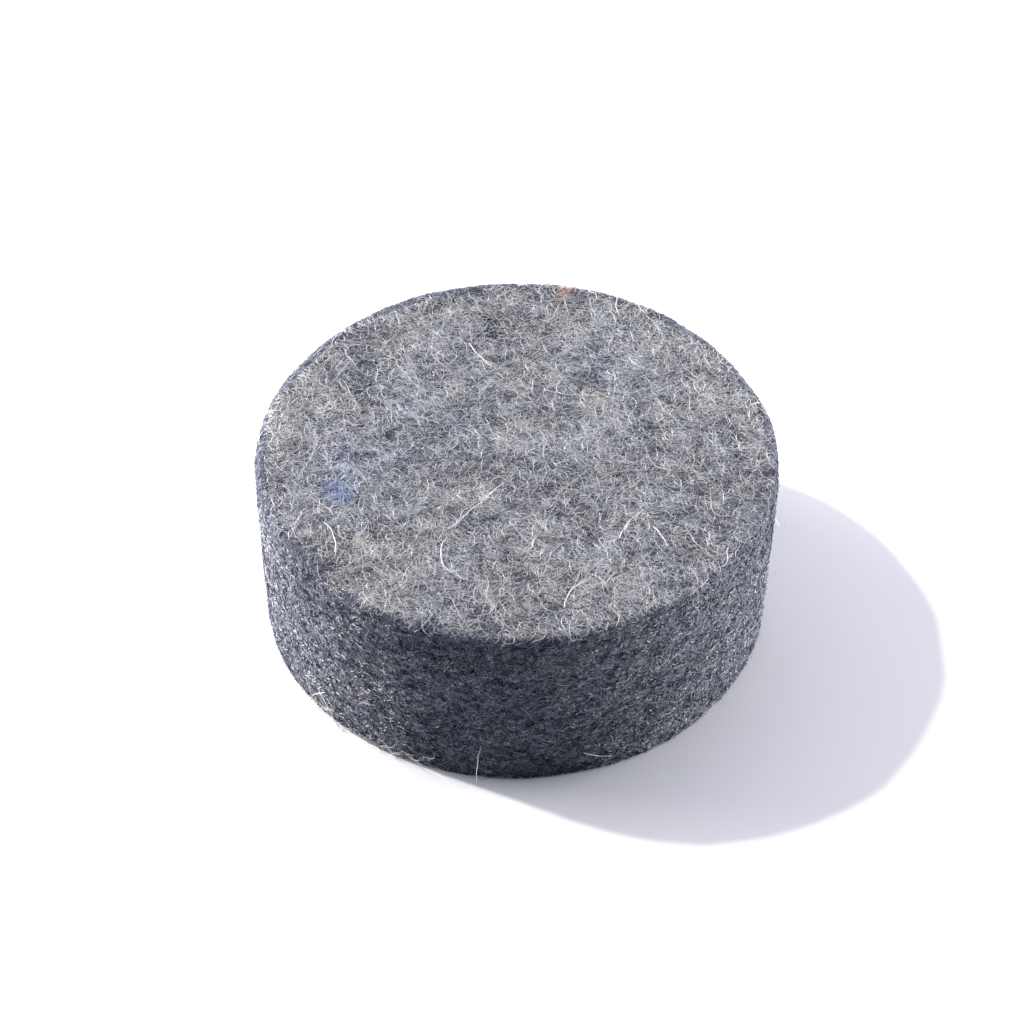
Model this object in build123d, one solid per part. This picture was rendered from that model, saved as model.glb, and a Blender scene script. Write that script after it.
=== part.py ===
from build123d import *
import math
import os

# Felt polishing wheel: a closed-face puck of pressed wool felt, driven from
# behind by a threaded bush that sits flush in its back face.
# The origin is the centre of the back face, where the wheel lies on a bench.
# +Z runs along the wheel's axis, out of the working face. Lengths are in mm.

# Felt body
WHEEL_DIAMETER = 65.0
WHEEL_THICKNESS = 25.0
FRONT_EDGE_RADIUS = 1.2
BACK_EDGE_RADIUS = 0.8

# Backing disc, set into the felt's back face
FACE_SETBACK = 0.3
BACKING_DIAMETER = 42.0
BACKING_THICKNESS = 3.0
BACKING_EDGE_CHAMFER = 0.4

# Threaded bush, M10 x 1.5, drawn with a plain wall at its tapping size
FLANGE_DIAMETER = 30.0
FLANGE_THICKNESS = 1.5
FLANGE_EDGE_CHAMFER = 0.2
BARREL_DIAMETER = 16.0
BARREL_LENGTH = 15.0
BARREL_END_CHAMFER = 0.8
THREAD_DIAMETER = 10.0
TAPPING_DIAMETER = 8.5
THREAD_LENGTH = 11.0
DRILL_POINT_ANGLE = 118.0

# Flush rivets that hold the bush's flange to the backing disc
RIVET_COUNT = 4
RIVET_SHANK_DIAMETER = 2.5
RIVET_HEAD_DIAMETER = 4.5
RIVET_TAIL_DIAMETER = 3.7
RIVET_CIRCLE_DIAMETER = 23.0

# Glue line between the felt and the hardware
GLUE_THICKNESS = 0.3

FROM_BASE = (Align.CENTER, Align.CENTER, Align.MIN)

backing_top = FACE_SETBACK + BACKING_THICKNESS
flange_top = FACE_SETBACK + FLANGE_THICKNESS
barrel_top = FACE_SETBACK + BARREL_LENGTH
glue_base = FACE_SETBACK + BACKING_EDGE_CHAMFER


def disc(diameter, bottom, top):
    """An upright cylinder on the wheel's axis, from one height to another."""
    return Pos(0, 0, bottom) * Cylinder(diameter / 2, top - bottom, align=FROM_BASE)


def taper(bottom_diameter, top_diameter, bottom, top):
    """An upright cone frustum on the wheel's axis, from one height to another."""
    return Pos(0, 0, bottom) * Cone(
        bottom_diameter / 2, top_diameter / 2, top - bottom, align=FROM_BASE
    )


def circle_edges(solid, radius, height):
    """The solid's circular edges about the axis that have this radius and height."""
    return [
        edge
        for edge in solid.edges().filter_by(GeomType.CIRCLE)
        if abs(edge.radius - radius) < 1e-4 and abs(edge.center().Z - height) < 1e-4
    ]


def felt_body():
    """The puck, with soft rims and a stepped socket in its back for the hardware."""
    puck = disc(WHEEL_DIAMETER, 0, WHEEL_THICKNESS)
    front_rim = circle_edges(puck, WHEEL_DIAMETER / 2, WHEEL_THICKNESS)
    puck = fillet(front_rim, FRONT_EDGE_RADIUS)
    back_rim = circle_edges(puck, WHEEL_DIAMETER / 2, 0)
    puck = fillet(back_rim, BACK_EDGE_RADIUS)
    puck -= disc(BACKING_DIAMETER + 2 * GLUE_THICKNESS, 0, backing_top + GLUE_THICKNESS)
    puck -= disc(BARREL_DIAMETER + 2 * GLUE_THICKNESS, 0, barrel_top + GLUE_THICKNESS)
    return puck


def glue_layer():
    """The cured glue: an even skin over the disc's rim and inner face, and the barrel."""
    rim_skin = disc(BACKING_DIAMETER + 2 * GLUE_THICKNESS, glue_base, backing_top + GLUE_THICKNESS)
    barrel_skin = disc(
        BARREL_DIAMETER + 2 * GLUE_THICKNESS, glue_base, barrel_top + GLUE_THICKNESS
    )
    skin = rim_skin + barrel_skin
    skin -= disc(BACKING_DIAMETER, glue_base, backing_top)
    skin -= bush_outline()
    return skin


def backing_disc():
    """The fibre disc, with a seat for the flange and a hole for each rivet."""
    plate = disc(BACKING_DIAMETER, FACE_SETBACK, backing_top)
    outer_edge = circle_edges(plate, BACKING_DIAMETER / 2, FACE_SETBACK)
    plate = chamfer(outer_edge, BACKING_EDGE_CHAMFER)
    plate -= disc(FLANGE_DIAMETER, FACE_SETBACK, flange_top)
    plate -= disc(BARREL_DIAMETER, FACE_SETBACK, backing_top)
    for rivet in rivets():
        plate -= rivet
    return plate


def bush_outline():
    """The bush's barrel and flange, before anything is cut from them."""
    barrel = disc(BARREL_DIAMETER, FACE_SETBACK, barrel_top)
    barrel = chamfer(circle_edges(barrel, BARREL_DIAMETER / 2, barrel_top), BARREL_END_CHAMFER)
    flange = disc(FLANGE_DIAMETER, FACE_SETBACK, flange_top)
    flange = chamfer(circle_edges(flange, FLANGE_DIAMETER / 2, FACE_SETBACK), FLANGE_EDGE_CHAMFER)
    return barrel + flange


def threaded_bush():
    """The flanged steel bush, with its blind tapped hole and countersunk rivet holes."""
    mouth_depth = (THREAD_DIAMETER - TAPPING_DIAMETER) / 2
    thread_start = FACE_SETBACK + mouth_depth
    thread_end = thread_start + THREAD_LENGTH
    point_depth = TAPPING_DIAMETER / 2 / math.tan(math.radians(DRILL_POINT_ANGLE / 2))
    bush = bush_outline()
    bush -= taper(THREAD_DIAMETER, TAPPING_DIAMETER, FACE_SETBACK, thread_start)
    bush -= disc(TAPPING_DIAMETER, thread_start, thread_end)
    bush -= taper(TAPPING_DIAMETER, 0, thread_end, thread_end + point_depth)
    for rivet in rivets():
        bush -= rivet
    return bush


def rivets():
    """The rivets: a countersunk head in the flange, a shank, and a closed flush tail."""
    head_depth = (RIVET_HEAD_DIAMETER - RIVET_SHANK_DIAMETER) / 2
    tail_depth = (RIVET_TAIL_DIAMETER - RIVET_SHANK_DIAMETER) / 2
    rivet = disc(RIVET_SHANK_DIAMETER, FACE_SETBACK, backing_top)
    rivet += taper(
        RIVET_HEAD_DIAMETER, RIVET_SHANK_DIAMETER, FACE_SETBACK, FACE_SETBACK + head_depth
    )
    rivet += taper(
        RIVET_SHANK_DIAMETER, RIVET_TAIL_DIAMETER, backing_top - tail_depth, backing_top
    )
    places = PolarLocations(RIVET_CIRCLE_DIAMETER / 2, RIVET_COUNT, start_angle=45)
    return [place * rivet for place in places]


NODES = {
    "felt_body": felt_body(),
    "glue_layer": glue_layer(),
    "backing_disc": backing_disc(),
    "threaded_bush": threaded_bush(),
    "flange_rivets": Compound(children=rivets()),
}

os.makedirs("parts", exist_ok=True)
for name, shape in NODES.items():
    export_step(shape, os.path.join("parts", f"{name}.step"))
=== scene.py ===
import math

import bmesh
import bpy
import numpy as np
from mathutils import Euler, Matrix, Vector


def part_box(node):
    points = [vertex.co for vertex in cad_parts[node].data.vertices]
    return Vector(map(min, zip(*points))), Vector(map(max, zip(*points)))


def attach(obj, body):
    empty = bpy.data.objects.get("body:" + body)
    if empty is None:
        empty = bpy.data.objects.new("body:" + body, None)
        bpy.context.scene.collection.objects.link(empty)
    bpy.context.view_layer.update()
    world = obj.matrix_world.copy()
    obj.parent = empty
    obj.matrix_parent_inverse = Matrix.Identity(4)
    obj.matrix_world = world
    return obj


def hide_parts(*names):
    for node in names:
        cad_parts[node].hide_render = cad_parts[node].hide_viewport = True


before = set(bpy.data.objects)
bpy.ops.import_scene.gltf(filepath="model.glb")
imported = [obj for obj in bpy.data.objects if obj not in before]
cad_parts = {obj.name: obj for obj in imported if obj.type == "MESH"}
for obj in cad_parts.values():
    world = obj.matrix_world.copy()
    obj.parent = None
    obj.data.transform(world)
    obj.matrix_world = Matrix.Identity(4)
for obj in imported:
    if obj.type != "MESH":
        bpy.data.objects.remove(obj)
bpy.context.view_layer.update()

# Every length below is in millimetres, in the frame of the CAD model: the origin is the centre
# of the wheel's back face and +Z leaves its working face. MM turns them into Blender's metres.
MM = 0.001
SEED = 4127


def box_mm(node):
    """The low and high corners of a CAD node's box."""
    low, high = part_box(node)
    return np.array(low) / MM, np.array(high) / MM


_, felt_high = box_mm("felt_body")
_, glue_high = box_mm("glue_layer")
_, disc_high = box_mm("backing_disc")
bush_low, bush_high = box_mm("threaded_bush")

RADIUS = felt_high[0]
HEIGHT = felt_high[2]
FRONT_EDGE = 0.9
BACK_EDGE = 0.8
SOCKET_RADIUS = glue_high[0]
SOCKET_DEPTH = disc_high[2] + (glue_high[0] - disc_high[0])
BARREL_SOCKET_RADIUS = 8.3
BARREL_SOCKET_DEPTH = glue_high[2]

# Distances along the felt's outline, from the centre of the face out, down and under.
FACE_RUN = RADIUS - FRONT_EDGE
SIDE_START = FACE_RUN + FRONT_EDGE * math.pi / 2
SIDE_RUN = HEIGHT - FRONT_EDGE - BACK_EDGE
BACK_START = SIDE_START + SIDE_RUN + BACK_EDGE * math.pi / 2
OUTLINE_END = BACK_START + RADIUS - BACK_EDGE - SOCKET_RADIUS


# --- the felt's surface, shared by its mesh and by every fibre on it ---

LATTICE_TILT = np.array(Euler((0.6, 0.9, 0.4)).to_matrix())


def noise(points, size, seed):
    """Smooth noise from -1 to 1 whose features are about size across, on a tilted lattice."""
    side = 32
    table = np.random.default_rng(seed).uniform(-1, 1, (side, side, side))
    scaled = points @ LATTICE_TILT / size
    cell = np.floor(scaled).astype(int)
    part = scaled - cell
    part = part * part * (3 - 2 * part)
    total = np.zeros(points.shape[:-1])
    for corner in np.ndindex(2, 2, 2):
        share = np.prod(np.where(corner, part, 1 - part), axis=-1)
        at = (cell + corner) % side
        total += share * table[at[..., 0], at[..., 1], at[..., 2]]
    return total


def outline(run):
    """Radius, height, and the normal's outward and upward parts, at a distance along the outline."""
    front = np.clip(run - FACE_RUN, 0, FRONT_EDGE * math.pi / 2) / FRONT_EDGE
    down = np.clip(run - SIDE_START, 0, SIDE_RUN)
    under = np.clip(run - SIDE_START - SIDE_RUN, 0, BACK_EDGE * math.pi / 2) / BACK_EDGE
    inward = np.clip(run - BACK_START, 0, None)
    radius = np.minimum(run, FACE_RUN) + FRONT_EDGE * np.sin(front)
    radius = radius - BACK_EDGE * (1 - np.cos(under)) - inward
    height = HEIGHT - FRONT_EDGE * (1 - np.cos(front)) - down - BACK_EDGE * np.sin(under)
    turn = front + under
    return radius, height, np.sin(turn), np.cos(turn)


def out_of_round(angle, high):
    """How far the side leans out: the top towards the back, and the foot in at the front right.
    The angle is in radians, and high runs from 0 at the back face to 1 at the working face."""
    top = 0.45 + 0.75 * np.cos(angle - math.radians(98))
    foot = 0.10 + 0.40 * np.cos(angle + math.radians(55))
    return high * top - (1 - high) * foot


def pits(point, upright):
    """Small pits, deeper in the side than in the face."""
    depth = 0.20 + 0.12 * upright
    return depth * np.minimum(noise(point, 1.0, SEED + 3) + 0.10, 0)


def soft_rim(flattened, run):
    """An uneven rounding of the front rim, in a band centred just before the side starts."""
    band = (run - SIDE_START + 0.6) / 1.1
    return -(0.04 + 0.22 * noise(flattened, 6, SEED + 5)) * np.exp(-band * band)


def relief(point, normal, run, pitted):
    """How far the felt swells or sinks at a point: out of round, soft rim, lumps and layers, and pits."""
    flattened = point * (1, 1, 0.35)
    layered = point * (1, 1, 5)
    upright = 1 - np.abs(normal[..., 2])
    angle = np.arctan2(point[..., 1], point[..., 0])
    lean = out_of_round(angle, point[..., 2] / HEIGHT)
    swell = (lean + 0.18 * noise(flattened, 17, SEED)) * upright
    lumps = 0.10 * noise(point, 4.5, SEED + 1) + 0.07 * noise(point, 1.9, SEED + 2)
    layers = 0.10 * noise(layered, 3.2, SEED + 4) * upright
    total = swell + lumps + layers + soft_rim(flattened, run)
    if pitted:
        total = total + pits(point, upright)
    return total


def felt_surface(run, angle, pitted=False):
    """Points and normals of the felt's surface at distances along the outline and angles.
    The felt's own mesh is pitted, and the fibres bridge its pits."""
    radius, height, out, up = outline(run)
    across = np.cos(angle)
    along = np.sin(angle)
    point = np.stack([radius * across, radius * along, height], axis=-1)
    normal = np.stack([out * across, out * along, up], axis=-1)
    point = point + normal * relief(point, normal, run, pitted)[..., None]
    point[..., 2] = np.maximum(point[..., 2], 0)
    return point, normal


# --- where the felt is darker, lighter, cooler or warmer, and where shade and the tint of light are painted ---


def on_side(angle, height):
    """A place on the felt's side, from its angle in degrees and its height."""
    turn = math.radians(angle)
    return (RADIUS * math.cos(turn), RADIUS * math.sin(turn), height)


def on_face(x, y):
    """A place on the working face."""
    return (x, y, HEIGHT)


def spots(place, marks):
    """How strongly soft round marks, each a centre, a size and an amount, act at each place."""
    total = np.zeros(place.shape[:-1])
    for centre, size, amount in marks:
        away = place - np.array(centre)
        total += amount * np.exp(-(away**2).sum(axis=-1) / size**2)
    return total


# Each mark is a centre, a size in mm and an amount: above 0 it is darker, or warmer.
DARK_MARKS_AND_PAINTED_SHADE = [
    # The first six marks are painted shade: under the front rim, across the front of the side and along
    # its foot by the floor, where the side stands in shade.
    (on_side(-95, 23.5), 7.0, 0.28),
    (on_side(-113, 23.0), 5.0, 0.24),
    (on_side(-85, 14.0), 12.0, 0.10),
    (on_side(-80, 0.0), 6.0, 0.45),
    (on_side(-103, 0.0), 6.0, 0.45),
    (on_side(-143, 24.5), 4.5, 0.35),
    (on_side(-55, 10.5), 2.5, 0.30),
    (on_side(-105, 9.0), 5.0, 0.15),
    (on_side(-5, 19.0), 5.0, 0.15),
    (on_side(-170, 2.0), 7.0, 0.12),
    (on_face(27, -2), 6.0, 0.12),
    (on_face(21, -18), 5.0, 0.18),
    (on_face(-13, -4), 5.0, 0.15),
    (on_face(0, 6), 4.0, 0.12),
    (on_face(14, 24), 7.0, -0.12),
    (on_face(27, 8), 5.0, -0.10),
    (on_face(-26, 6), 5.0, -0.10),
    (on_face(0, -28), 7.0, -0.08),
    (on_face(-13, -24), 6.0, -0.08),
    (on_face(13, -25), 6.0, -0.08),
]
WARM_MARKS_AND_PAINTED_LIGHT_TINT = [
    (on_side(-70, 2.5), 5.0, 0.9),
    (on_side(-140, 5.0), 5.0, 0.5),
    # Painted light: the front of the side is cooler, for the blue of the dim light there.
    (on_side(-92, 9.0), 11.0, -0.9),
    (on_face(-21, -20), 5.0, 0.5),
    (on_face(0, -30), 7.0, 0.5),
    (on_face(-21, -4), 6.0, -1.0),
    (on_face(-12, 10), 6.0, -0.5),
    (on_face(12, 16), 5.0, -0.5),
]
# The back half of the side is painted a little darker and warmer: painted shade and a warm tint that tone
# down the bright, bluish light falling on it from behind.
for angle in range(30, 151, 30):
    DARK_MARKS_AND_PAINTED_SHADE.append((on_side(angle, 10.0), 11.0, 0.28))
    WARM_MARKS_AND_PAINTED_LIGHT_TINT.append((on_side(angle, 10.0), 11.0, 0.6))


# --- meshes ---


def build_mesh(name, vertices, faces, slots=None):
    """A mesh object from vertices in mm and an array of triangles or of quads, and perhaps
    the material slot of each."""
    mesh = bpy.data.meshes.new(name)
    sides = faces.shape[1]
    mesh.vertices.add(len(vertices))
    mesh.vertices.foreach_set("co", (vertices * MM).astype(np.float32).ravel())
    mesh.loops.add(faces.size)
    mesh.loops.foreach_set("vertex_index", faces.astype(np.int32).ravel())
    mesh.polygons.add(len(faces))
    mesh.polygons.foreach_set("loop_start", np.arange(0, faces.size, sides, dtype=np.int32))
    if slots is not None:
        mesh.polygons.foreach_set("material_index", slots.astype(np.int32))
    mesh.update(calc_edges=True)
    mesh.validate()
    mesh.shade_smooth()
    thing = bpy.data.objects.new(name, mesh)
    bpy.context.scene.collection.objects.link(thing)
    return thing


# The rings of the felt's mesh round the front rim, down the side, round the back rim and under.
RINGS = (8, 67, 5, 21)


def ring_faces(lower, upper):
    """Quads between two rings of vertex numbers."""
    return np.stack([lower, np.roll(lower, -1), np.roll(upper, -1), upper], axis=-1)


def face_grid(cells):
    """The runs and angles of a square grid whose outline is bent into the circle of the face."""
    steps = np.linspace(-1, 1, cells + 1)
    a, b = np.meshgrid(steps, steps, indexing="ij")
    wide = np.abs(a) > np.abs(b)
    safe_a = np.where(wide, a, 1)
    safe_b = np.where(wide | (b == 0), 1, b)
    reach = np.where(wide, a, b)
    angle = np.where(wide, math.pi / 4 * b / safe_a, math.pi / 2 - math.pi / 4 * a / safe_b)
    angle = np.where(reach < 0, angle + math.pi, angle)
    return np.abs(reach) * FACE_RUN, angle


def felt_mesh(cells):
    """The felt: an even grid wrapped over the face, then rings down the side and into the socket."""
    face_points, _ = felt_surface(*face_grid(cells), pitted=True)
    number = np.arange((cells + 1) ** 2).reshape(cells + 1, cells + 1)
    face_quads = np.stack(
        [number[:-1, :-1], number[1:, :-1], number[1:, 1:], number[:-1, 1:]], axis=-1
    )
    rim = np.concatenate([number[-1, :-1], number[:0:-1, -1], number[0, :0:-1], number[:-1, 0]])
    rim_angle = -math.pi / 4 + 2 * math.pi * np.arange(4 * cells) / (4 * cells)

    bends = [FACE_RUN, SIDE_START, SIDE_START + SIDE_RUN, BACK_START, OUTLINE_END]
    stretches = zip(bends[:-1], bends[1:], RINGS)
    runs = np.concatenate([np.linspace(start, end, rings + 1)[1:] for start, end, rings in stretches])
    skin, _ = felt_surface(*np.broadcast_arrays(runs[:, None], rim_angle[None, :]), pitted=True)
    circle = np.stack([np.cos(rim_angle), np.sin(rim_angle)], axis=-1)
    skin[-1, :, :2] = SOCKET_RADIUS * circle
    skin[-1, :, 2] = 0
    socket = [
        (SOCKET_RADIUS, SOCKET_DEPTH),
        (BARREL_SOCKET_RADIUS, SOCKET_DEPTH),
        (BARREL_SOCKET_RADIUS, BARREL_SOCKET_DEPTH),
    ]
    walls = [np.insert(radius * circle, 2, height, axis=1) for radius, height in socket]
    vertices = np.concatenate([face_points.reshape(-1, 3), skin.reshape(-1, 3), *walls])
    faces = [face_quads.reshape(-1, 4)]
    ring = rim
    first = (cells + 1) ** 2
    for _ in range(len(runs) + len(socket)):
        following = first + np.arange(4 * cells)
        faces.append(ring_faces(following, ring))
        ring = following
        first += 4 * cells
    centre = len(vertices)
    vertices = np.vstack([vertices, [0, 0, BARREL_SOCKET_DEPTH]])
    middle = np.full(2 * cells, centre)
    faces.append(np.stack([ring[::2], np.roll(ring, 1)[::2], middle, np.roll(ring, -1)[::2]], axis=-1))
    return vertices, np.concatenate(faces)


def tubes(centres, normals, radius):
    """Closed three-sided tubes along rows of points, each drawn out to a point at both ends."""
    count, length, _ = centres.shape
    along = np.gradient(centres, axis=1)
    along /= np.linalg.norm(along, axis=-1, keepdims=True) + 1e-9
    side = np.cross(along, normals)
    side /= np.linalg.norm(side, axis=-1, keepdims=True) + 1e-9
    lift = np.cross(side, along)
    inner = slice(1, length - 1)
    rings = []
    for turn in (math.pi / 2, math.pi * 7 / 6, math.pi * 11 / 6):
        way = math.cos(turn) * side[:, inner] + math.sin(turn) * lift[:, inner]
        rings.append(centres[:, inner] + way * radius[:, None, None])
    body = np.stack(rings, axis=2).reshape(count, -1, 3)
    vertices = np.concatenate([centres[:, :1], body, centres[:, -1:]], axis=1)
    per_fibre = vertices.shape[1]
    last = per_fibre - 1
    faces = [(0, 1 + (k + 1) % 3, 1 + k) for k in range(3)]
    faces += [(last, last - 3 + k, last - 3 + (k + 1) % 3) for k in range(3)]
    for ring in range(length - 3):
        for k in range(3):
            here = 1 + 3 * ring + k
            beside = 1 + 3 * ring + (k + 1) % 3
            faces += [(here, beside, beside + 3), (here, beside + 3, here + 3)]
    faces = np.array(faces)
    start = np.arange(count)[:, None, None] * per_fibre
    return vertices.reshape(-1, 3), (start + faces[None]).reshape(-1, 3), len(faces)


# --- fibres ---

# The pick that contrast turns about, from 0 for the palest wool to 1 for the darkest, and the
# warmths that part the steel, grey and sand tints.
MIDDLE_PICK = 0.33
STEEL_BELOW = -0.45
SAND_ABOVE = 0.5

HAIR_POINTS = 18

# How deep the ends of matted fibres and the roots of loose ones go in.
TUCK = 0.06
ROOT_DEPTH = 0.04

# How far in and out the ragged edge of the face fibres wanders.
EDGE_WANDER = 0.9


def curls(rng, heading, length, points, bend, wave):
    """Plane curves that start at the origin with these headings, then bend and wander."""
    count = len(heading)
    s = np.linspace(0, 1, points)[None, :]
    swing = s * rng.uniform(0.5, 2.2, (count, 1)) + rng.uniform(0, 1, (count, 1))
    turn = rng.normal(0, bend, (count, 1)) * s
    turn = turn + rng.normal(0, wave, (count, 1)) * np.sin(2 * math.pi * swing)
    way = heading[:, None] + turn
    step = length[:, None] / (points - 1)
    along = np.cumsum(np.cos(way) * step, axis=1)
    across = np.cumsum(np.sin(way) * step, axis=1)
    return along, across


def matted(rng, count, points, low, high):
    """Heights over the surface along a fibre that is matted in: ends tucked, a wave between."""
    s = np.linspace(0, 1, points)[None, :]
    arch = np.sin(math.pi * s) ** 0.6
    swing = s * rng.uniform(0.5, 2.0, (count, 1)) + rng.uniform(0, 1, (count, 1))
    top = rng.uniform(low, high, (count, 1))
    return top * arch * (0.65 + 0.35 * np.sin(2 * math.pi * swing)) - TUCK * (1 - arch)


def loose(rng, count, points, low, high):
    """Heights along a fibre that is held at one end and stands off the surface at the other."""
    s = np.linspace(0, 1, points)[None, :]
    reach = rng.uniform(low, high, (count, 1))
    return reach * s ** rng.uniform(0.8, 2.0, (count, 1)) - ROOT_DEPTH


def fibre_piece(name, run, angle, height, radius, shade, palette):
    """A piece made of fibres that follow the felt's surface, each in one of the palette's wools."""
    point, normal = felt_surface(run, angle)
    centre = point + normal * height[..., None]
    centre[..., 2] = np.maximum(centre[..., 2], radius[:, None])
    vertices, faces, per_fibre = tubes(centre, normal, radius)
    piece = build_mesh(name, vertices, faces, np.repeat(shade, per_fibre))
    for item in palette:
        piece.data.materials.append(item)
    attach(piece, "root")
    return piece


def choose_wools(rng, x, y, z, amounts, patchiness, layering=1.0, contrast=1.0):
    """Which wool each fibre is: the shades and the tints gather in patches of a few sizes,
    which are flattened into layers on the side. A low contrast keeps to the middle shades."""
    place = np.stack([x, y, z], axis=-1)
    layered = place * (1, 1, layering)
    patches = 0.15 * noise(layered, 7.0, SEED + 6) + 0.6 * noise(layered, 2.2, SEED + 7)
    patches = patches + 0.7 * noise(layered, 1.1, SEED + 8)
    pick = rng.uniform(0, 1, len(x)) + patchiness * patches
    pick = MIDDLE_PICK + contrast * (pick - MIDDLE_PICK) + spots(place, DARK_MARKS_AND_PAINTED_SHADE)
    shade = np.searchsorted(np.cumsum(amounts), np.clip(pick, 0, 0.9999) * sum(amounts))
    warmth = 0.6 * noise(place, 2.4, SEED + 10) + spots(place, WARM_MARKS_AND_PAINTED_LIGHT_TINT)
    warmth = warmth + rng.normal(0, 0.45, len(x))
    tint = np.where(warmth < STEEL_BELOW, 1, np.where(warmth > SAND_ABOVE, 2, 0))
    return shade + tint * len(amounts)


def face_fibres(name, count, lengths, widths, lifts, points, bend, amounts, palette, stand=matted):
    """Fibres lying in every direction over the face, some of them down over the rim. What would
    run far past the rim's uneven edge is drawn back to it."""
    rng = np.random.default_rng([SEED, *name.encode()])
    heading = rng.uniform(0, 2 * math.pi, count)
    along, across = curls(rng, heading, rng.uniform(*lengths, count), points, bend, 0.6)
    where = rng.uniform(0, 2 * math.pi, count)
    edge = np.stack([np.cos(where), np.sin(where), np.zeros(count)], axis=-1) * RADIUS
    reach = RADIUS + EDGE_WANDER * (noise(edge, 3.5, SEED + 9) - 1)
    place = reach * np.sqrt(rng.uniform(0, 1, count))
    x = (place * np.cos(where))[:, None] + along - along.mean(axis=1, keepdims=True)
    y = (place * np.sin(where))[:, None] + across - across.mean(axis=1, keepdims=True)
    height = stand(rng, count, points, *lifts)
    radius = rng.uniform(*widths, count) / 2
    middle = points // 2
    top = np.full(count, HEIGHT)
    shade = choose_wools(rng, x[:, middle], y[:, middle], top, amounts, patchiness=0.35)
    run = np.hypot(x, y)
    over = np.clip(run - reach[:, None] - 0.4, 0, None)
    run = run - 0.6 * over
    return fibre_piece(name, run, np.arctan2(y, x), height, radius, shade, palette)


def side_fibres(
    name, count, lengths, widths, lifts, points, spread, amounts, palette,
    stand=matted, runs=(SIDE_START - 0.8, BACK_START), turns=(-180, 180),
):
    """Fibres round the side, mostly along the felt's layers when the spread is small.
    They may keep to some of the outline's run and to a range of angles in degrees. Their
    shades differ most at the front, which faces -Y: painted shade, for the deep shade between
    the fibres where the front stands in dim light, while the lit sides and back keep to middle
    shades in place of the haze on lit fibres."""
    rng = np.random.default_rng([SEED, *name.encode()])
    heading = rng.normal(0, spread, count) + math.pi * rng.integers(0, 2, count)
    along, across = curls(rng, heading, rng.uniform(*lengths, count), points, 0.9, 0.35)
    run = rng.uniform(*runs, count)[:, None] + across
    angle = np.radians(rng.uniform(*turns, count))[:, None] + along / RADIUS
    height = stand(rng, count, points, *lifts)
    radius = rng.uniform(*widths, count) / 2
    middle = points // 2
    x = RADIUS * np.cos(angle[:, middle])
    y = RADIUS * np.sin(angle[:, middle])
    z = SIDE_START + HEIGHT - run[:, middle]
    # Painted shade: the wools spread wider at the dim front and keep to the middle shades on the lit
    # sides and back.
    front = np.cos(angle[:, middle] + math.radians(95))
    contrast = np.clip(0.55 + 0.85 * front, 0.55, 1.35)
    shade = choose_wools(rng, x, y, z, amounts, 0.32, layering=3.0, contrast=contrast)
    return fibre_piece(name, run, angle, height, radius, shade, palette)


def back_fibres(name, count, lengths, widths, lifts, points, amounts, palette):
    """Fibres matted over the ring of felt round the socket, clear of the backing disc."""
    rng = np.random.default_rng([SEED, *name.encode()])
    heading = rng.uniform(0, 2 * math.pi, count)
    along, across = curls(rng, heading, rng.uniform(*lengths, count), points, 1.6, 0.6)
    place = np.sqrt(rng.uniform(SOCKET_RADIUS**2, (RADIUS - BACK_EDGE) ** 2, count))
    where = rng.uniform(0, 2 * math.pi, count)
    x = (place * np.cos(where))[:, None] + along - along.mean(axis=1, keepdims=True)
    y = (place * np.sin(where))[:, None] + across - across.mean(axis=1, keepdims=True)
    inward = np.clip(RADIUS - BACK_EDGE - np.hypot(x, y), 0, None)
    run = np.minimum(BACK_START + inward, OUTLINE_END - 0.1)
    height = matted(rng, count, points, *lifts)
    radius = rng.uniform(*widths, count) / 2
    shade = choose_wools(rng, x[:, 0], y[:, 0], np.zeros(count), amounts, patchiness=0.3)
    return fibre_piece(name, run, np.arctan2(y, x), height, radius, shade, palette)


def tuft(name, x, y, spread, count, lengths, widths, palette):
    """A tuft of dyed wool carded into the face round one place."""
    rng = np.random.default_rng([SEED, *name.encode()])
    points = 8
    heading = rng.uniform(0, 2 * math.pi, count)
    along, across = curls(rng, heading, rng.uniform(*lengths, count), points, 1.6, 0.6)
    x = (x + rng.normal(0, spread[0], count))[:, None] + along - along.mean(axis=1, keepdims=True)
    y = (y + rng.normal(0, spread[1], count))[:, None] + across - across.mean(axis=1, keepdims=True)
    height = matted(rng, count, points, 0.03, 0.16)
    radius = rng.uniform(*widths, count) / 2
    shade = rng.integers(0, len(palette), count)
    return fibre_piece(name, np.hypot(x, y), np.arctan2(y, x), height, radius, shade, palette)


def hair(rng, start, heading, length, bend):
    """One long hair's line: a place, a heading and a bend in degrees, and a slight tremble."""
    s = np.linspace(0, 1, HAIR_POINTS)
    way = np.radians(heading + bend * s) + 0.12 * np.sin(2 * math.pi * (2.3 * s + rng.uniform()))
    step = length / (HAIR_POINTS - 1)
    first = start[0] + np.cumsum(np.cos(way)) * step
    second = start[1] + np.cumsum(np.sin(way)) * step
    return first, second


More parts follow.
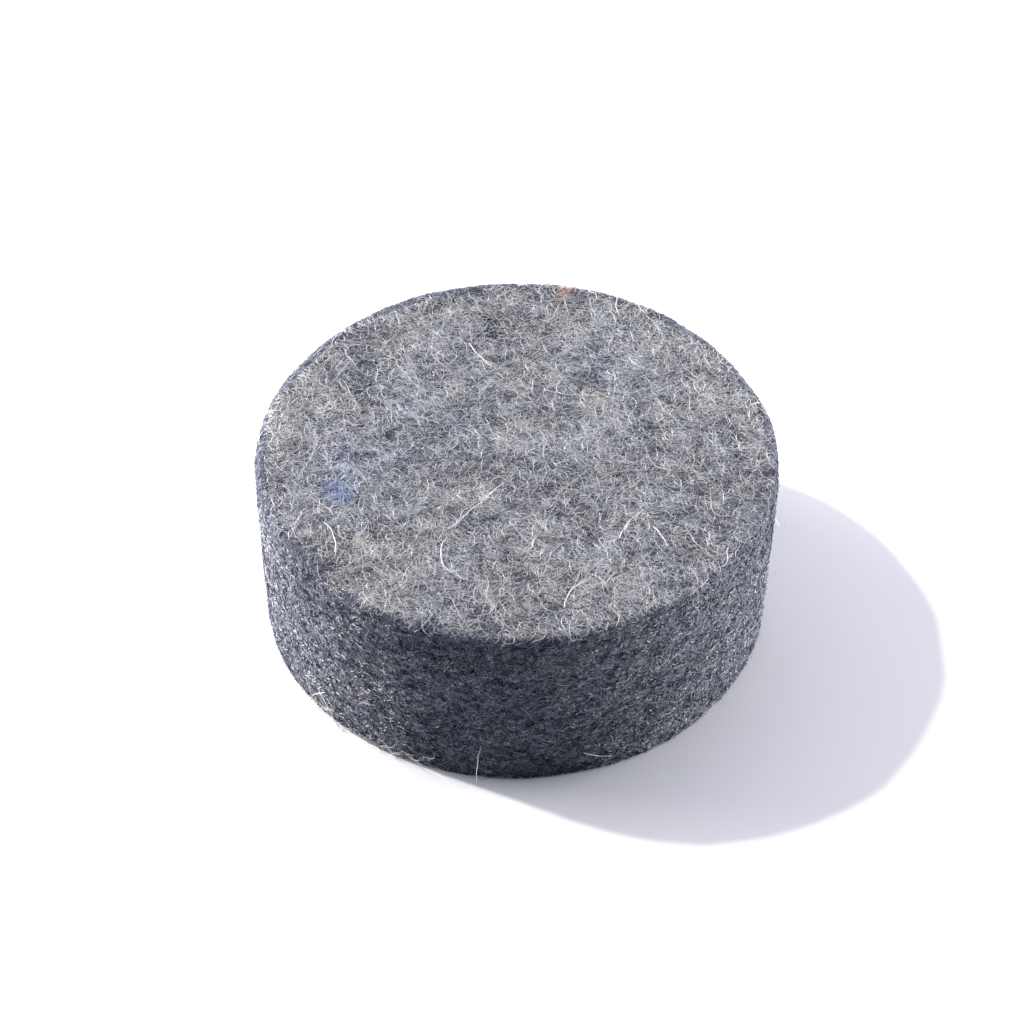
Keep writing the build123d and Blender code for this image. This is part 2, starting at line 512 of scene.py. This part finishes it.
def long_hairs(name, face_hairs, side_hairs, palette, thickness):
    """The few long hairs, all of one thickness, loose on the face and hanging off the side."""
    rng = np.random.default_rng([SEED, *name.encode()])
    s = np.linspace(0, 1, HAIR_POINTS)
    runs = []
    angles = []
    heights = []
    for start, heading, length, bend in face_hairs:
        x, y = hair(rng, start, heading, length, bend)
        runs.append(np.hypot(x, y))
        angles.append(np.arctan2(y, x))
        heights.append(0.22 + 0.15 * np.sin(math.pi * s))
    for angle, drop, heading, length, bend, reach in side_hairs:
        across, down = hair(rng, (0, 0), heading, length, bend)
        runs.append(SIDE_START + drop - down)
        angles.append(math.radians(angle) + across / RADIUS)
        heights.append(reach * s**1.3)
    count = len(runs)
    radius = np.full(count, thickness / 2)
    paths = [np.array(part) for part in (runs, angles, heights)]
    return fibre_piece(name, *paths, radius, np.zeros(count), palette)


# --- materials ---


def new_material(name):
    """A new material, its node tree and its shader."""
    item = bpy.data.materials.new(name)
    item.use_nodes = True
    return item, item.node_tree, item.node_tree.nodes["Principled BSDF"]


def wool(name, colour, sheen=0.25, specular=0.25):
    """Wool of one dye. Each fibre is one colour, and the mix of wools makes the felt's."""
    item, _, shader = new_material(name)
    shader.inputs["Base Color"].default_value = (*colour, 1)
    shader.inputs["Roughness"].default_value = 0.75
    shader.inputs["Specular IOR Level"].default_value = specular
    shader.inputs["Sheen Weight"].default_value = sheen
    shader.inputs["Sheen Roughness"].default_value = 0.4
    return item


def add(tree, kind, **settings):
    """Adds a node and sets its settings."""
    node = tree.nodes.new(kind)
    for key, value in settings.items():
        setattr(node, key, value)
    return node


def math_node(tree, operation, first, second=0.0, clamp=False):
    """The result of an operation on two values, each a socket or a number."""
    node = add(tree, "ShaderNodeMath", operation=operation, use_clamp=clamp)
    for socket, value in zip(node.inputs, (first, second)):
        if isinstance(value, bpy.types.NodeSocket):
            tree.links.new(value, socket)
        else:
            socket.default_value = value
    return node.outputs[0]


def scaled_place(tree, scale):
    """The place on the object in mm, times a scale for each axis."""
    coords = add(tree, "ShaderNodeTexCoord")
    node = add(tree, "ShaderNodeMapping")
    node.inputs["Scale"].default_value = [s / MM for s in scale]
    tree.links.new(coords.outputs["Object"], node.inputs["Vector"])
    return node.outputs["Vector"]


def noise_node(tree, place, scale, detail, shift, distortion=0.0):
    """Shader noise from 0 to 1, at a place that is moved aside by a shift."""
    move = add(tree, "ShaderNodeVectorMath", operation="ADD")
    move.inputs[1].default_value = (shift, 1.7 * shift, 0.6 * shift)
    tree.links.new(place, move.inputs[0])
    node = add(tree, "ShaderNodeTexNoise")
    node.inputs["Scale"].default_value = scale
    node.inputs["Detail"].default_value = detail
    node.inputs["Distortion"].default_value = distortion
    tree.links.new(move.outputs[0], node.inputs["Vector"])
    return node.outputs["Fac"]


def around_middle(tree, value, gain):
    """How far a value is above 0.5, times a gain."""
    return math_node(tree, "MULTIPLY", math_node(tree, "SUBTRACT", value, 0.5), gain)


def set_colours(tree, shader, value, *stops):
    """Colours the surface by a value from 0 to 1, through stops that are a place and a colour."""
    ramp = add(tree, "ShaderNodeValToRGB")
    elements = ramp.color_ramp.elements
    for k, (place, colour) in enumerate((stops[0], stops[-1])):
        elements[k].position = place
        elements[k].color = (*colour, 1)
    for place, colour in stops[1:-1]:
        elements.new(place).color = (*colour, 1)
    tree.links.new(value, ramp.inputs["Fac"])
    tree.links.new(ramp.outputs["Color"], shader.inputs["Base Color"])


def set_bump(tree, shader, height, strength, depth):
    """Roughens the surface's normal by a height from 0 to 1, whose depth is in mm."""
    bump = add(tree, "ShaderNodeBump")
    bump.inputs["Strength"].default_value = strength
    bump.inputs["Distance"].default_value = depth * MM
    tree.links.new(height, bump.inputs["Height"])
    tree.links.new(bump.outputs["Normal"], shader.inputs["Normal"])


def set_roughness(tree, shader, value, least, spread):
    """Roughness from least, where the value is 0, to least plus spread, where it is 1."""
    rough = math_node(tree, "ADD", math_node(tree, "MULTIPLY", value, spread), least)
    tree.links.new(rough, shader.inputs["Roughness"])


# Each layer of curling lines in the felt: its noise's scale, the lines' width and its shift.
LINE_LAYERS = ((1.1, 0.030, 3), (1.5, 0.035, 11), (2.1, 0.045, 23), (2.9, 0.06, 31), (3.7, 0.07, 47))


def fibre_lines(tree, place, scale, width, shift):
    """Thin curling lines, 1 on a line and 0 off it: where smooth noise crosses its middle value."""
    level = noise_node(tree, place, scale, 1.0, shift, distortion=0.3)
    off = math_node(tree, "ABSOLUTE", math_node(tree, "SUBTRACT", level, 0.5))
    return math_node(tree, "SUBTRACT", 1.0, math_node(tree, "DIVIDE", off, width), clamp=True)


def felt_material(name, pore, middle, light, sheen):
    """The felt under the loose fibres: fine curling lines over dark pores, in patches."""
    item, tree, shader = new_material(name)
    place = scaled_place(tree, (1, 1, 2.6))
    lines = fibre_lines(tree, place, *LINE_LAYERS[0])
    for layer in LINE_LAYERS[1:]:
        lines = math_node(tree, "MAXIMUM", lines, fibre_lines(tree, place, *layer))
    grain = noise_node(tree, place, 5.0, 2.0, 57)
    patches = noise_node(tree, place, 0.6, 2.0, 71)
    tone = math_node(tree, "MULTIPLY", lines, 0.42)
    tone = math_node(tree, "ADD", tone, around_middle(tree, grain, 1.3))
    tone = math_node(tree, "ADD", tone, around_middle(tree, patches, 0.5))
    tone = math_node(tree, "ADD", tone, 0.30, clamp=True)
    set_colours(tree, shader, tone, (0.0, pore), (0.45, middle), (1.0, light))
    set_bump(tree, shader, tone, 0.8, 0.12)
    shader.inputs["Roughness"].default_value = 0.95
    shader.inputs["Specular IOR Level"].default_value = 0.1
    shader.inputs["Sheen Weight"].default_value = sheen
    shader.inputs["Sheen Roughness"].default_value = 0.5
    return item


# --- the pieces ---

FELT_CELLS = 150
felt_vertices, felt_faces = felt_mesh(FELT_CELLS)
off_face = np.arange(len(felt_faces)) >= FELT_CELLS**2
felt = build_mesh("felt", felt_vertices, felt_faces, off_face)
felt.data.materials.append(
    felt_material(
        "face_felt",
        pore=(0.008, 0.010, 0.022),
        middle=(0.080, 0.086, 0.115),
        light=(0.40, 0.41, 0.44),
        sheen=0.15,
    )
)
# The side's felt is darker and bluer than the face's: partly the cut side's own darker felt, partly
# painted shade and the blue of the dim light, where the side stands in shade.
felt.data.materials.append(
    felt_material(
        "side_felt_and_painted_shade",
        pore=(0.002, 0.003, 0.010),
        middle=(0.034, 0.040, 0.072),
        light=(0.34, 0.355, 0.40),
        sheen=0.15,
    )
)
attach(felt, "root")
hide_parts("felt_body")

# The wools: each shade is dyed in every tint, and the amounts say how much there is of each
# shade, from the palest to the darkest.
TINTS = {"grey": (1.0, 1.0, 1.0), "steel": (0.945, 0.985, 1.07), "sand": (1.03, 1.0, 0.935)}
FACE_SHADES = {
    "white": (0.82, 0.82, 0.81),
    "pale": (0.74, 0.74, 0.74),
    "light": (0.60, 0.60, 0.615),
    "mid": (0.37, 0.375, 0.40),
    "dark": (0.075, 0.08, 0.11),
}
FACE_AMOUNTS = (0.12, 0.26, 0.30, 0.19, 0.13)
# The side's wools are darker and bluer than the face's: partly the cut side's own darker felt, partly
# painted shade and the blue of the dim light, where the side stands in shade.
SIDE_TONES_AND_PAINTED_SHADE = {
    "pale": (0.68, 0.68, 0.68),
    "light": (0.35, 0.36, 0.395),
    "mid": (0.068, 0.078, 0.134),
    "dark": (0.003, 0.007, 0.032),
}
SIDE_AMOUNTS = (0.11, 0.23, 0.24, 0.42)


def make_wools(prefix, shades, sheen, specular):
    """One wool for each tint and shade: all the greys first, then the steels, then the sands."""
    palette = []
    for tint, gain in TINTS.items():
        for shade, colour in shades.items():
            dye = [min(part * share, 1.0) for part, share in zip(colour, gain)]
            palette.append(wool(f"{prefix}_{tint}_{shade}", dye, sheen, specular))
    return palette


FACE_WOOL = make_wools("face", FACE_SHADES, sheen=0.12, specular=0.2)
SIDE_WOOL = make_wools("side", SIDE_TONES_AND_PAINTED_SHADE, sheen=0.04, specular=0.1)

for k in range(4):
    face_fibres(
        f"face_short_fibres_{k + 1}", 6500, lengths=(0.9, 2.6), widths=(0.05, 0.075),
        lifts=(0.02, 0.17), points=7, bend=1.1, amounts=FACE_AMOUNTS, palette=FACE_WOOL,
    )
for k in range(2):
    face_fibres(
        f"face_long_fibres_{k + 1}", 2400, lengths=(3.0, 7.5), widths=(0.05, 0.075),
        lifts=(0.08, 0.22), points=12, bend=1.8, amounts=FACE_AMOUNTS, palette=FACE_WOOL,
    )
for k in range(4):
    side_fibres(
        f"side_fibres_{k + 1}", 14000, lengths=(0.3, 1.0), widths=(0.05, 0.075),
        lifts=(0.02, 0.13), points=5, spread=0.9, amounts=SIDE_AMOUNTS, palette=SIDE_WOOL,
    )
side_fibres(
    "side_curls", 500, lengths=(1.2, 3.5), widths=(0.035, 0.055), lifts=(0.06, 0.22),
    points=12, spread=1.3, amounts=(0.3, 0.7, 0, 0), palette=SIDE_WOOL,
)
side_fibres(
    "side_fuzz", 4500, lengths=(0.3, 1.1), widths=(0.04, 0.06), lifts=(0.08, 0.42),
    points=6, spread=1.5, amounts=SIDE_AMOUNTS, palette=SIDE_WOOL, stand=loose,
)
face_fibres(
    "face_fuzz", 2200, lengths=(0.4, 1.4), widths=(0.04, 0.06), lifts=(0.10, 0.45),
    points=6, bend=1.4, amounts=FACE_AMOUNTS, palette=FACE_WOOL, stand=loose,
)
side_fibres(
    "foot_wisps", 36, lengths=(2.5, 6.0), widths=(0.03, 0.045), lifts=(0.3, 1.4),
    points=12, spread=0.25, amounts=(1, 0, 0, 0), palette=SIDE_WOOL,
    stand=loose, runs=(BACK_START - 2.0, BACK_START - 0.6), turns=(-145, -112),
)
back_fibres(
    "back_fibres", 8000, lengths=(0.8, 3.5), widths=(0.05, 0.08), lifts=(0.02, 0.14),
    points=7, amounts=FACE_AMOUNTS, palette=FACE_WOOL,
)

BLUE = [
    wool("wool_blue", (0.05, 0.11, 0.38)),
    wool("wool_sky", (0.22, 0.31, 0.56)),
    wool("wool_powder", (0.42, 0.50, 0.70)),
]
NAVY = [wool("wool_navy", (0.02, 0.035, 0.10)), wool("wool_ink", (0.012, 0.02, 0.05))]
SALMON = [wool("wool_salmon", (0.75, 0.46, 0.35)), wool("wool_peach", (0.72, 0.59, 0.49))]
TAN = [wool("wool_tan", (0.62, 0.50, 0.34)), wool("wool_straw", (0.66, 0.60, 0.47))]
# Each tuft: its name, the middle of it, its spread across and up the face, how many fibres it has,
# their lengths and their widths, and its wools.
tuft("blue_tuft", -22.2, -6.8, (1.0, 1.4), 120, (1.0, 3.0), (0.06, 0.10), BLUE)
tuft("blue_wisps", -20.5, -1.0, (3.0, 2.5), 60, (1.0, 3.5), (0.05, 0.08), BLUE)
tuft("navy_tuft", -3.2, 23.6, (0.7, 1.6), 110, (0.8, 2.4), (0.06, 0.10), NAVY)
tuft("salmon_tuft", 6.4, 31.0, (0.6, 0.6), 60, (0.8, 2.0), (0.06, 0.10), SALMON)
tuft("salmon_wisps", 5.6, 26.0, (0.7, 2.4), 40, (0.8, 2.4), (0.05, 0.08), SALMON)
tuft("tan_tuft", -21.1, -23.2, (0.8, 0.6), 16, (0.8, 2.4), (0.05, 0.08), TAN)

# Each face hair: where it starts, its heading, its length, and how far it bends, in mm and degrees.
FACE_HAIRS = [
    ((-1.2, -5.0), -127, 11.2, -6),
    ((-8.2, -14.8), -128, 9.5, 118),
    ((11.8, -3.7), 10, 3.8, -8),
    ((14.3, -11.3), -120, 4.4, 8),
    ((16.5, -12.9), -58, 4.0, -12),
    ((-6.5, 21.0), -70, 6.0, 25),
    ((-16.0, 6.0), 20, 6.5, -60),
    ((3.0, 12.0), -35, 7.0, 50),
    ((-24.0, -12.0), -50, 6.0, -45),
    ((9.0, -22.0), 200, 6.0, 70),
]
# Each side hair: its angle round the wheel, how far down the side it starts, its heading across
# and up the side, its length, its bend, and how far its free end stands off.
SIDE_HAIRS = [
    (-98, 18.0, -100, 5.2, 12, 1.6),
    (-137, 19.5, -150, 5.5, 40, 1.0),
    (-141, 20.5, -20, 6.0, -30, 0.8),
    (-25, 17.5, -30, 4.0, 160, 1.5),
    (8, 6.0, -60, 4.5, 30, 1.8),
    (2, 9.0, -80, 3.5, -50, 1.2),
    (170, 9.0, 120, 3.5, 70, 1.0),
    (-76, 20.0, -40, 4.0, 40, 0.9),
]
# The stray hairs are thinner ones, given in the same way, in a grey wool that is painted shade, for pale
# hairs that stand in shade.
STRAY_HAIRS = [
    (12, 5.0, -80, 4.5, 60, 1.9),
    (-4, 3.0, -100, 5.0, -70, 1.7),
    (-18, 12.0, -60, 4.0, 90, 1.2),
    (-34, 17.0, -120, 4.5, -60, 1.8),
    (-52, 20.0, -70, 3.5, 80, 1.4),
    (-158, 12.0, -100, 4.0, 70, 1.3),
    (-166, 16.0, -60, 3.5, -80, 1.5),
    (60, 4.0, 100, 4.0, 70, 1.5),
    (120, 6.0, 80, 4.0, -60, 1.3),
]
long_hairs("long_hairs", FACE_HAIRS, SIDE_HAIRS, FACE_WOOL[:1], 0.09)
# The stray hairs' grey wool is painted shade.
long_hairs("stray_hairs", [], STRAY_HAIRS, FACE_WOOL[3:4], 0.04)


# --- the hardware in the back ---

BUSH_SIDES = 144
PITCH = 1.5
MAJOR_RADIUS = 5.0
MINOR_RADIUS = 4.25
FLANGE_RADIUS = bush_high[0]
FLANGE_CHAMFER = 0.2
FLANGE_THICKNESS = 1.5
FLANGE_TOP = bush_low[2] + FLANGE_THICKNESS
BARREL_RADIUS = BARREL_SOCKET_RADIUS - (glue_high[0] - disc_high[0])
BARREL_CHAMFER = 0.8
THREAD_LENGTH = 11.0
THREAD_END = bush_low[2] + (MAJOR_RADIUS - MINOR_RADIUS) + THREAD_LENGTH
THREAD_RUN_OUT = 0.8
DRILL_ANGLE = 118
DRILL_POINT = MINOR_RADIUS / math.tan(math.radians(DRILL_ANGLE / 2))
KNURL_TEETH = 24
KNURL_LEAD = 3.0
KNURL_DEPTH = 0.24


def thread_radius(height, turn):
    """The tapped bore's radius: a 60 degree thread, opened by the countersink, run out at its end."""
    phase = (height / PITCH - turn / (2 * math.pi)) % 1
    tooth = np.clip(1.9 * np.abs(2 * phase - 1) - 0.25, 0, 1)
    run_out = np.clip((THREAD_END - height) / THREAD_RUN_OUT, 0, 1)
    countersink = MAJOR_RADIUS + 0.05 - (height - bush_low[2])
    cut = MINOR_RADIUS + (MAJOR_RADIUS - MINOR_RADIUS) * tooth * run_out
    return np.maximum(cut, countersink)


def knurl_radius(height, turn):
    """The barrel's radius under its diamond knurl, which keys it in the glue."""
    one = np.cos(KNURL_TEETH * turn + KNURL_LEAD * height)
    other = np.cos(KNURL_TEETH * turn - KNURL_LEAD * height)
    return BARREL_RADIUS - KNURL_DEPTH * (2 - one - other) / 4


def bush_mesh():
    """The bush as rings of one lathe outline: bore, flange, barrel and the barrel's blind end."""
    base = bush_low[2]
    top = bush_high[2]
    turn = 2 * math.pi * np.arange(BUSH_SIDES) / BUSH_SIDES
    rows = [(THREAD_END, MINOR_RADIUS)]
    rows += [(z, thread_radius(z, turn)) for z in np.linspace(THREAD_END, base, 120)[1:]]
    rows += [(base, r) for r in np.linspace(MAJOR_RADIUS, FLANGE_RADIUS - FLANGE_CHAMFER, 8)[1:]]
    rows += [(base + FLANGE_CHAMFER, FLANGE_RADIUS), (FLANGE_TOP, FLANGE_RADIUS)]
    rows += [(FLANGE_TOP, BARREL_RADIUS)]
    knurl_top = top - BARREL_CHAMFER
    rows += [(z, knurl_radius(z, turn)) for z in np.linspace(FLANGE_TOP + 0.3, knurl_top, 46)]
    rows += [(top, BARREL_RADIUS - BARREL_CHAMFER)]
    rings = []
    for height, radius in rows:
        level = np.full(BUSH_SIDES, height)
        rings.append(np.stack([radius * np.cos(turn), radius * np.sin(turn), level], axis=-1))
    ends = [[0, 0, THREAD_END + DRILL_POINT], [0, 0, top]]
    vertices = np.concatenate([*rings, ends])
    numbers = np.arange(len(rings) * BUSH_SIDES).reshape(len(rings), BUSH_SIDES)
    faces = [ring_faces(numbers[k], numbers[k + 1]) for k in range(len(rings) - 1)]
    count = len(vertices)
    for centre, ring in ((count - 2, numbers[0][::-1]), (count - 1, numbers[-1])):
        spokes = ring.reshape(-1, 2)
        following = np.roll(ring, -2).reshape(-1, 2)[:, 0]
        middle = np.full(len(spokes), centre)
        faces.append(np.stack([middle, spokes[:, 0], spokes[:, 1], following], axis=-1))
    return vertices, np.concatenate(faces)


def cut_with(piece, cutter):
    """Cuts a closed CAD node's shape out of a piece."""
    mould = bpy.data.objects.new("cutter", cutter.data.copy())
    bpy.context.scene.collection.objects.link(mould)
    form = bmesh.new()
    form.from_mesh(mould.data)
    bmesh.ops.remove_doubles(form, verts=form.verts, dist=0.001 * MM)
    form.to_mesh(mould.data)
    form.free()
    modifier = piece.modifiers.new("cut", "BOOLEAN")
    modifier.object = mould
    modifier.solver = "EXACT"
    bpy.context.view_layer.update()
    graph = bpy.context.evaluated_depsgraph_get()
    piece.data = bpy.data.meshes.new_from_object(piece.evaluated_get(graph))
    piece.modifiers.clear()
    bpy.data.objects.remove(mould)


def turned_steel():
    """Zinc-plated steel, with fine rings from the lathe and a slightly cloudy plating."""
    item, tree, shader = new_material("turned_steel")
    place = scaled_place(tree, (1, 1, 1))
    rings = add(tree, "ShaderNodeTexWave", wave_type="RINGS", rings_direction="Z")
    rings.inputs["Scale"].default_value = 1.1
    rings.inputs["Distortion"].default_value = 0.4
    tree.links.new(place, rings.inputs["Vector"])
    cloud = noise_node(tree, place, 0.35, 3.0, 5)
    set_colours(tree, shader, cloud, (0.0, (0.44, 0.45, 0.47)), (1.0, (0.64, 0.635, 0.60)))
    set_roughness(tree, shader, cloud, least=0.22, spread=0.25)
    set_bump(tree, shader, rings.outputs["Fac"], 0.5, 0.02)
    shader.inputs["Metallic"].default_value = 1.0
    return item


def hammered_aluminium():
    """Aluminium rivets, dull, with shallow dimples from the hammer."""
    item, tree, shader = new_material("hammered_aluminium")
    place = scaled_place(tree, (1, 1, 1))
    grain = noise_node(tree, place, 6.0, 3.0, 9)
    dents = noise_node(tree, place, 1.6, 1.0, 17)
    set_colours(tree, shader, grain, (0.0, (0.62, 0.62, 0.63)), (1.0, (0.84, 0.84, 0.85)))
    set_roughness(tree, shader, grain, least=0.25, spread=0.3)
    set_bump(tree, shader, dents, 0.7, 0.08)
    shader.inputs["Metallic"].default_value = 1.0
    return item


def vulcanised_fibre():
    """Hard red-brown fibre sheet: mottled pulp under a satin skin, pressed with a faint weave."""
    item, tree, shader = new_material("vulcanised_fibre")
    place = scaled_place(tree, (1, 1, 1))
    pulp = noise_node(tree, scaled_place(tree, (0.6, 2.2, 1)), 1.4, 5.0, 13)
    clouds = noise_node(tree, place, 0.25, 2.0, 29)
    share = math_node(tree, "MULTIPLY", clouds, 0.3)
    tone = math_node(tree, "ADD", math_node(tree, "MULTIPLY", pulp, 0.7), share)
    set_colours(tree, shader, tone, (0.3, (0.12, 0.030, 0.020)), (0.7, (0.28, 0.085, 0.055)))
    threads = []
    for direction in ("X", "Y"):
        wave = add(tree, "ShaderNodeTexWave", bands_direction=direction)
        wave.inputs["Scale"].default_value = 0.55
        wave.inputs["Distortion"].default_value = 0.6
        tree.links.new(place, wave.inputs["Vector"])
        threads.append(wave.outputs["Fac"])
    weave = math_node(tree, "MULTIPLY", *threads)
    set_bump(tree, shader, math_node(tree, "ADD", weave, pulp), 0.5, 0.05)
    set_roughness(tree, shader, pulp, least=0.33, spread=0.25)
    return item


def amber_glue():
    """Cured epoxy: glossy amber, cloudy, with small trapped bubbles."""
    item, tree, shader = new_material("amber_glue")
    place = scaled_place(tree, (1, 1, 1))
    clouds = noise_node(tree, place, 0.8, 3.0, 37)
    bubbles = add(tree, "ShaderNodeTexVoronoi")
    bubbles.inputs["Scale"].default_value = 2.5
    tree.links.new(place, bubbles.inputs["Vector"])
    set_colours(tree, shader, clouds, (0.0, (0.36, 0.22, 0.07)), (1.0, (0.68, 0.52, 0.26)))
    set_bump(tree, shader, bubbles.outputs["Distance"], 0.4, 0.05)
    set_roughness(tree, shader, clouds, least=0.15, spread=0.25)
    return item


def dress(node, item):
    """Gives a CAD node that stays in view its own material."""
    for material_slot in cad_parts[node].material_slots:
        material_slot.material = item


bush = build_mesh("bush", *bush_mesh())
cut_with(bush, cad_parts["flange_rivets"])
bush.data.materials.append(turned_steel())
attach(bush, "root")
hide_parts("threaded_bush")
dress("flange_rivets", hammered_aluminium())
dress("backing_disc", vulcanised_fibre())
dress("glue_layer", amber_glue())


# --- floor, lights and camera ---

KEY_WAY = (-0.647, 0.300, 0.701)
KEY_STRENGTH = 2.85
KEY_COLOUR = (1.0, 0.975, 0.94)
# Each softbox: its name, its direction round the wheel in degrees, and its power in watts.
SOFTBOXES = (("right", 15, 21.5), ("left", 157, 30.0))
SOFTBOX_RISE = 0.08
SOFTBOX_COLOUR = (1.0, 0.97, 0.94)
SKY_FRONT = 0.03
SKY_BEHIND = 1.42
SKY_HORIZON = 0.45
LENS = 105.5
TARGET = (-0.67, 0, 14.6)
ELEVATION = 44.83
DISTANCE = 384.3

# The floor lies just under the felt, so that the two never share a plane.
FLOOR_GAP = 0.01


def stage():
    """The pale floor."""
    bpy.ops.mesh.primitive_plane_add(size=8)
    floor = bpy.context.object
    floor.name = "floor"
    floor.location.z = -FLOOR_GAP * MM
    item, _, shader = new_material("floor")
    shader.inputs["Base Color"].default_value = (0.86, 0.86, 0.87, 1)
    shader.inputs["Roughness"].default_value = 0.7
    floor.data.materials.append(item)


def add_light(name, kind, way, energy, colour, distance=0.9, **settings):
    """A light that shines at the origin from some way off, distance in metres."""
    lamp = bpy.data.lights.new(name, kind)
    lamp.energy = energy
    lamp.color = colour
    for key, value in settings.items():
        setattr(lamp, key, value)
    thing = bpy.data.objects.new(name, lamp)
    bpy.context.scene.collection.objects.link(thing)
    way = Vector(way).normalized()
    thing.location = way * distance
    thing.rotation_euler = way.to_track_quat("Z", "Y").to_euler()
    thing.visible_camera = False
    return thing


def map_range(tree, value, start, end, low, high):
    """Maps a value's range from start to end onto low to high, and holds it there."""
    node = add(tree, "ShaderNodeMapRange")
    for key, number in (("From Min", start), ("From Max", end), ("To Min", low), ("To Max", high)):
        node.inputs[key].default_value = number
    tree.links.new(value, node.inputs["Value"])
    return node.outputs[0]


def sky():
    """The light of the room: bright and white behind the wheel, dim and blue before it, and
    lower near the horizon. The camera sees a plain pale wall in its place."""
    world = bpy.data.worlds.new("studio")
    bpy.context.scene.world = world
    world.use_nodes = True
    tree = world.node_tree
    back = tree.nodes["Background"]
    coords = add(tree, "ShaderNodeTexCoord")
    split = add(tree, "ShaderNodeSeparateXYZ")
    tree.links.new(coords.outputs["Generated"], split.inputs[0])
    behind = map_range(tree, split.outputs["Y"], -0.7, 0.5, SKY_FRONT, SKY_BEHIND)
    above = map_range(tree, split.outputs["Z"], 0.0, 0.5, SKY_HORIZON, 1.0)
    tree.links.new(math_node(tree, "MULTIPLY", behind, above), back.inputs["Strength"])
    tint = add(tree, "ShaderNodeMix", data_type="RGBA")
    tint.inputs[6].default_value = (0.52, 0.68, 1.0, 1)
    tint.inputs[7].default_value = (0.88, 0.88, 1.0, 1)
    tree.links.new(behind, tint.inputs[0])
    tree.links.new(tint.outputs[2], back.inputs["Color"])
    wall = add(tree, "ShaderNodeBackground")
    wall.inputs["Color"].default_value = (0.97, 0.97, 0.98, 1)
    path = add(tree, "ShaderNodeLightPath")
    seen = add(tree, "ShaderNodeMixShader")
    tree.links.new(path.outputs["Is Camera Ray"], seen.inputs[0])
    tree.links.new(back.outputs[0], seen.inputs[1])
    tree.links.new(wall.outputs[0], seen.inputs[2])
    tree.links.new(seen.outputs[0], tree.nodes["World Output"].inputs["Surface"])


def light_the_scene():
    """A sun about 45 degrees up behind the wheel on the left, two low strip softboxes, and the sky."""
    add_light("key", "SUN", KEY_WAY, KEY_STRENGTH, KEY_COLOUR, angle=math.radians(2.5))
    for name, azimuth, energy in SOFTBOXES:
        turn = math.radians(azimuth)
        way = (math.cos(turn), math.sin(turn), SOFTBOX_RISE)
        strip = {"shape": "RECTANGLE", "size": 0.6, "size_y": 0.13}
        add_light(f"{name}_softbox", "AREA", way, energy, SOFTBOX_COLOUR, **strip)
    sky()


def place_camera():
    """The camera: a long lens at the distance and the elevation that fit the wheel's outline."""
    data = bpy.data.cameras.new("camera")
    data.lens = LENS
    data.sensor_width = 36
    data.clip_start = 0.01
    data.dof.use_dof = False
    camera = bpy.data.objects.new("camera", data)
    bpy.context.scene.collection.objects.link(camera)
    elevation = math.radians(ELEVATION)
    way = Vector((0, -math.cos(elevation), math.sin(elevation)))
    camera.location = (Vector(TARGET) + way * DISTANCE) * MM
    camera.rotation_euler = way.to_track_quat("Z", "Y").to_euler()
    bpy.context.scene.camera = camera


stage()
light_the_scene()
place_camera()
bpy.context.scene.view_settings.view_transform = "Standard"
bpy.context.scene.cycles.denoising_prefilter = "NONE"
